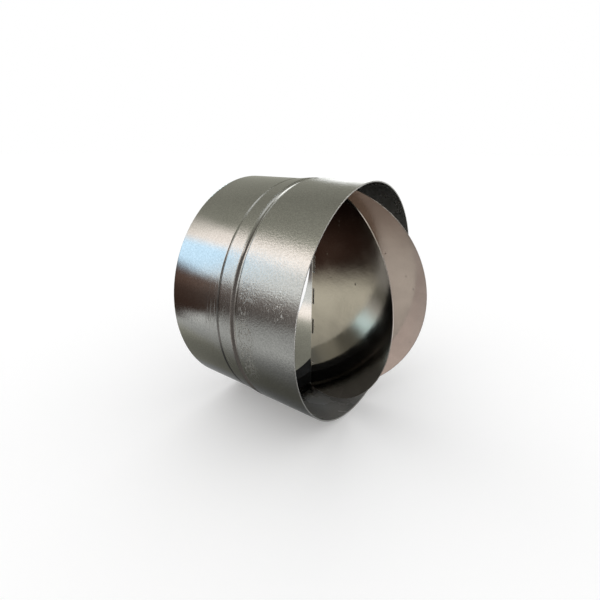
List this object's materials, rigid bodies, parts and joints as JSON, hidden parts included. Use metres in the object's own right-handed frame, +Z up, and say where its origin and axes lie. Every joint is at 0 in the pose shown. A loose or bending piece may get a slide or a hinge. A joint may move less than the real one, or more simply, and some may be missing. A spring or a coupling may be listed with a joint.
{
  "type": "duct backdraft damper",
  "caption": "Short round sheet-metal duct fitting with a black seal ring ahead of its rolled seat bead, and two half-round hinged blades that open towards the outlet on one upright spindle.",
  "frame": {"origin": "centre of the inlet end, on the duct's axis", "axes": "+X along the duct's axis in the direction of the air flow, from inlet to outlet; +Z up along the spindle; +Y completes the frame, so the near blade is on the -Y side and the far blade on the +Y side. The joints' zero is the pose in the picture"},
  "size_m": [0.1236, 0.149, 0.1496],
  "materials": {
    "galvanised_casing": "galvanised, finely grained, light handling scratches",
    "black_sponge_rubber": "matte black sponge rubber",
    "zinc_plated_rod": "zinc plated",
    "blade_sheet": "smooth mill finish with dust"
  },
  "bodies": {
    "housing": {"casing": "galvanised_casing", "seal_ring": "black_sponge_rubber", "spindle": "zinc_plated_rod"},
    "near_flap": {"near_blade": "blade_sheet"},
    "far_flap": {"far_blade": "blade_sheet"}
  },
  "joints": [
    {"name": "near_blade_hinge", "type": "hinge", "parent": "housing", "child": "near_flap", "pos_m": [0.0526, 0, 0], "axis": [0, 0, 1], "range_deg": [-69.1, 18.9]},
    {"name": "far_blade_hinge", "type": "hinge", "parent": "housing", "child": "far_flap", "pos_m": [0.0526, 0, 0], "axis": [0, 0, -1], "range_deg": [-78.6, 9.4]}
  ]
}
